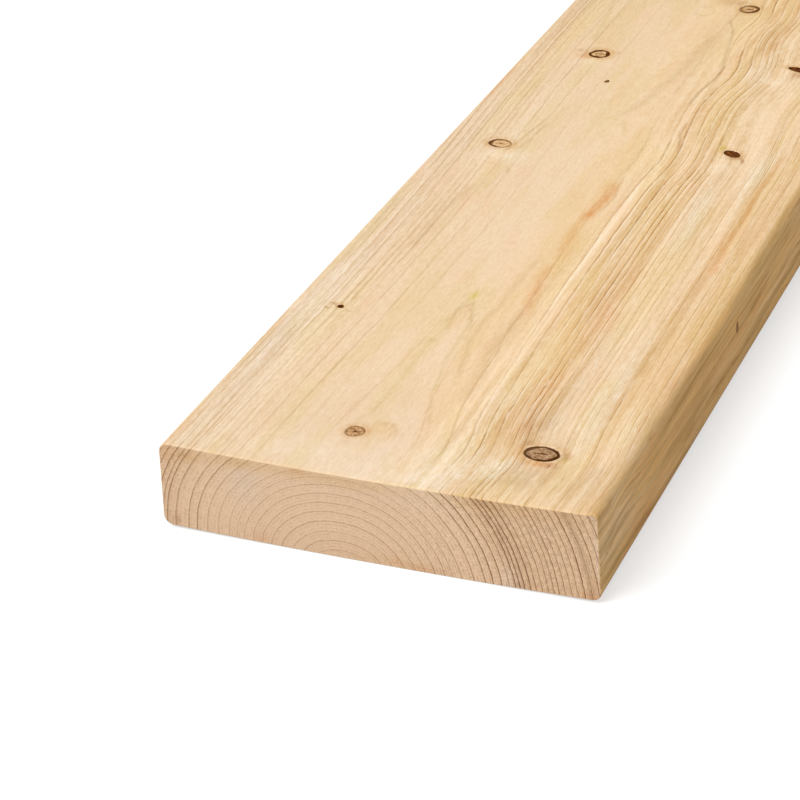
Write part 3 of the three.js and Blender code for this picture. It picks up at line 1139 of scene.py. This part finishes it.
def knot_figure(g, color):
    """Knots: a heart with rings and a dark middle, a dark rim of uneven width, a painted highlight just
    outside it, and stained wood round it.
    """
    a, b, distance = g.split(g.attribute("knot_place"))
    heart, rim, thick = g.split(g.attribute("knot_look"))
    middle, stain, seed = g.split(g.attribute("knot_more"))
    spot = g.join(a, b, seed)
    warp = g.noise(spot, WARP_SCALE, 1.0)
    speck = g.noise(spot, SPECK_SCALE, 3.0, 0.75)
    off = g.plus(distance, g.centred(warp, 0.10))
    halo = g.times(g.fall(off, 1.0, 1.9), stain, g.ramp(speck, 0.35, 0.6, 0.3, 1.0))
    color = g.tint(halo, color, HALO)
    # A painted highlight: a pale ring just outside the rim.
    gleam = g.times(g.ramp(off, 1.0, 1.1), g.fall(off, 1.1, 1.35), g.ramp(warp, 0.4, 0.6), rim, 0.5)
    color = g.mix(gleam, color, srgb(GLEAM))
    # The heart, with rings and dark specks, and light specks by how dark it is
    inner = g.colors(heart, HEARTS)
    wave = g.math("SINE", g.times(off, WAVES_ACROSS))
    inner = g.tint(g.ramp(wave, 0.0, 1.0, 0.0, 0.5), inner, WAVE)
    inner = g.tint(g.ramp(speck, 0.38, 0.50, 0.85, 0.0), inner, SPECK)
    dark = g.ramp(heart, 0.55, 0.9)
    light = g.ramp(speck, 0.50, 0.62, 0.0, 0.6)
    inner = g.mix(g.times(light, g.rest(dark)), inner, srgb(LIGHT_SPECK))
    inner = g.tint(g.times(light, dark), inner, DEAD_SPECK)
    core = g.vector("LENGTH", g.join(g.times(a, MIDDLE_ACROSS), g.times(b, MIDDLE_ALONG)))
    core = g.plus(core, g.centred(speck, MIDDLE_RAGGED))
    inner = g.tint(g.times(g.fall(core, 0.4, 1.2), middle), inner, MIDDLE)
    color = g.mix(g.fall(off, 0.96, 1.02), color, inner)
    # The rim is thicker where the warp noise is high, and frays inwards.
    thick = g.times(thick, g.ramp(warp, 0.35, 0.6, 0.8, 1.25))
    start = g.math("SUBTRACT", g.rest(thick), g.centred(speck, 0.25))
    ring = g.times(g.ramp(off, start, g.plus(start, 0.08)), g.fall(off, 1.0, 1.07), rim)
    rim_color = g.mix(g.ramp(heart, 0.2, 0.46), srgb(RIM_BROWN), srgb(RIM_DARK))
    return g.mix(ring, color, rim_color)


# The fine relief's heights in mm, and the saw marks' changes a mm along the width and the height
LINE_RISE, FIBRE_RISE, SAW_RISE, PORE_RISE = 0.05, 0.12, 0.10, 0.25
SAW_ACROSS, SAW_UP = 0.9, 0.09


def grain_height(g, end, rings):
    """The fine relief: late lines stand a little proud on the faces, and saw marks cross the ends."""
    _, left, _, _, strength, _ = rings
    line = late_line(g, left, 0.8)
    fine = g.grain(*FINE_FIBRE)
    faces = g.plus(g.times(line, strength, LINE_RISE), g.times(fine, FIBRE_RISE))
    saw = g.noise(g.join(g.times(g.x, SAW_ACROSS), 0.0, g.times(g.z, SAW_UP)), (1.0, 1.0, 1.0))
    pores = g.grain(*FINE_PORES)
    ends = g.plus(g.times(saw, SAW_RISE), g.times(pores, PORE_RISE))
    return g.between(end, faces, ends)


# X in metres between which the right and the left edge come in. The right one starts on the flat top, short
# of the arris, so that the edge tone paints shade over the arris.
RIGHT_EDGE, LEFT_EDGE = (0.0862, 0.0918), (-0.0926, -0.0912)


def edge_share(g, end):
    """1 on the planed edges and, as painted shade, rising over the top's right arris; 0 on the wide faces and
    the ends.
    """
    side = g.split(g.node("ShaderNodeTexCoord").outputs["Object"])[0]
    edge = g.math("MAXIMUM", g.ramp(side, *RIGHT_EDGE), g.fall(side, *LEFT_EDGE))
    return g.times(edge, g.rest(end))


EDGE_BAND = (0.20, 0.010, 0.26)


def edge_tone_and_shade(g, color, edge):
    """The planed edges are a warmer, streakier brown than the faces; where this reaches over the top's right
    arris, the darker tone is painted shade.
    """
    color = g.tint(edge, color, EDGE_TONE_AND_SHADE)
    band = g.noise(g.growth, EDGE_BAND, 3.0, 0.6)
    color = g.tint(g.times(edge, g.ramp(band, 0.50, 0.60)), color, EDGE_DARK)
    return g.tint(g.times(edge, g.fall(band, 0.40, 0.46)), color, EDGE_PALE)


def face_tone(g, rings, edge):
    """The wood along the grain, as the faces and edges show it."""
    through, left, past, faint, strength, share = rings
    line = late_line(g, left, 0.80, g.times(g.across(LINES_WIDTH), g.between(edge, 1.0, 0.35)))
    left_tone = g.across(LEFT_TONES, g.colors)
    color = g.mix(g.ramp(g.x, *RIGHT_TONES_FROM), left_tone, g.outwards(share, TONES))
    hidden = g.attribute("hidden", "Fac")
    open_wood = g.rest(hidden)
    broken = g.ramp(g.grain(*LINES_BREAK), 0.34, 0.60, 0.3, 1.0)
    shown = g.times(g.across(LINES_SHOW), open_wood, broken, strength)
    color = g.tint(g.times(g.ramp(through, 0.15, 1.0), shown, g.across(BANDS_SHOW)), color, BAND)
    color = g.tint(g.times(faint, g.across(FAINT_SHOW), open_wood, 0.3), color, LINE)
    color = g.tint(g.times(line, shown), color, LINE)
    early = g.times(g.fall(past, 0.10, 0.95), shown, g.across(WIDE_SHOW))
    color = g.mix(g.times(early, g.between(edge, 0.45, 0.1)), color, srgb(EARLY))
    return fibre_tone(g, color, hidden, edge)


# On the sawn ends, rays run out from the pith: changes round it, changes outwards
RAYS_ROUND, RAYS_OUT = 70.0, 25.0
PORE_SPAN, RAY_SPAN = 1.0, 0.3


def cut_tone(g, rings):
    """The wood across the grain, as the sawn ends show it."""
    through, left, _, faint, strength, share = rings
    line = late_line(g, left, 0.92, g.across(CUT_LINES_WIDTH))
    color = g.mix(g.across(CUT_TONES_SHOW), srgb(CUT), g.outwards(share, CUT_TONES))
    shown = g.across(CUT_LINES_SHOW)
    color = g.tint(g.times(g.ramp(through, 0.3, 1.0), strength, shown), color, CUT_BAND)
    color = g.tint(g.times(faint, shown, 0.34), color, CUT_LINE)
    color = g.tint(g.times(line, strength, shown), color, CUT_LINE)
    pores = g.grain(*CUT_PORES)
    ray = g.join(g.times(g.math("ARCTAN2", g.z, g.x), RAYS_ROUND), g.times(share, RAYS_OUT))
    rays = g.noise(ray, (1.0, 1.0, 1.0), 2.0, 0.7)
    level = g.plus(g.centred(pores, PORE_SPAN), g.centred(rays, RAY_SPAN))
    level = g.plus(g.times(level, g.across(PORES_SHOW)), 1.0)
    return g.tint(1.0, color, g.join(level, level, level))


ROUGHNESS = 0.65
SHEEN = 0.04


def wood_material():
    g = Wood()
    end = g.attribute("end_grain", "Fac")
    rings = ring_figure(g)
    edge = edge_share(g, end)
    color = g.mix(end, face_tone(g, rings, edge), cut_tone(g, rings))
    color = edge_tone_and_shade(g, color, edge)
    mottle = g.ramp(g.grain(*MOTTLE), 0.36, 0.56, 0.6, 1.0)
    color = g.tint(mottle, color, g.attribute("tint"))
    shader = g.node("ShaderNodeBsdfPrincipled")
    shader.inputs["Roughness"].default_value = ROUGHNESS
    shader.inputs["Specular IOR Level"].default_value = SHEEN
    g.put(shader.inputs["Base Color"], knot_figure(g, color))
    bump = g.node("ShaderNodeBump")
    bump.inputs["Distance"].default_value = MM
    g.put(bump.inputs["Height"], grain_height(g, end, rings))
    g.put(shader.inputs["Normal"], bump.outputs[0])
    return g.finish(shader)


# ---- the stage
FLOOR_COLOR = (0.50, 0.50, 0.50, 1)
FLOOR_GLOW = 0.58
FLOOR_HALF = 30.0
SKY, SKY_SEEN = 0.5, 1.0
KEY_PLACE = (-2.72, -5.16, 6.4)
KEY_AIM = (0.0, -1.0, 0.0)
KEY_SIZE = 5.1
KEY_WATTS = 505.0


def floor_material():
    """A pale floor that the camera sees as near white, and that still takes the plank's shadow."""
    g = Graph("floor")
    diffuse = g.node("ShaderNodeBsdfDiffuse")
    diffuse.inputs["Color"].default_value = FLOOR_COLOR
    glow = g.node("ShaderNodeEmission")
    path = g.node("ShaderNodeLightPath")
    seen = g.math("MAXIMUM", path.outputs["Is Camera Ray"], path.outputs["Is Glossy Ray"])
    g.put(glow.inputs["Strength"], g.times(seen, FLOOR_GLOW))
    both = g.node("ShaderNodeAddShader")
    g.fill(both, diffuse.outputs[0], glow.outputs[0])
    return g.finish(both)


def make_floor():
    mesh = bpy.data.meshes.new("floor")
    s = FLOOR_HALF
    mesh.from_pydata([(-s, -s, 0), (s, -s, 0), (s, s, 0), (-s, s, 0)], [], [(0, 1, 2, 3)])
    mesh.materials.append(floor_material())
    placed("floor", mesh)


def make_key():
    """One large soft lamp, in front on the left."""
    lamp = bpy.data.lights.new("key", "AREA")
    lamp.shape = "DISK"
    lamp.size = KEY_SIZE
    lamp.energy = KEY_WATTS
    body = placed("key", lamp)
    body.location = KEY_PLACE
    body.rotation_euler = (Vector(KEY_AIM) - Vector(KEY_PLACE)).to_track_quat("-Z", "Y").to_euler()


def make_sky():
    """A white world at a low level, which the camera sees at full level."""
    world = bpy.data.worlds.new("world")
    world.use_nodes = True
    tree = world.node_tree
    back = tree.nodes["Background"]
    back.inputs["Color"].default_value = (1, 1, 1, 1)
    path = tree.nodes.new("ShaderNodeLightPath")
    level = tree.nodes.new("ShaderNodeMapRange")
    level.inputs["To Min"].default_value = SKY
    level.inputs["To Max"].default_value = SKY_SEEN
    tree.links.new(path.outputs["Is Camera Ray"], level.inputs["Value"])
    tree.links.new(level.outputs[0], back.inputs["Strength"])
    bpy.context.scene.world = world


# ---- the scene
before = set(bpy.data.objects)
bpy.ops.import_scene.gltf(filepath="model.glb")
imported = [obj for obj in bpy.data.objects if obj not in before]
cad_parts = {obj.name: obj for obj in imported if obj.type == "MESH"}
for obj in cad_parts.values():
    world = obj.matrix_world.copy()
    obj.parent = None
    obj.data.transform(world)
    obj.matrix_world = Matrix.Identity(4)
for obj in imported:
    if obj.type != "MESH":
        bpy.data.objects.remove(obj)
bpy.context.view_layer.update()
make_camera()
bpy.context.scene.view_settings.view_transform = "Standard"

low, high = (np.array(c, float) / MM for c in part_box("plank"))
section = Section(low, high)
length = high[1] - low[1]
more_knots, more_whorls = knots_unseen(length)
knots = knots_seen(section) + more_knots
piece = write_mesh(section, length, knots, [*WHORLS, *more_whorls], low[1] * MM)
piece.data.materials.append(wood_material())
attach(piece, "root")
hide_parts("plank")
make_floor()
make_sky()
make_key()
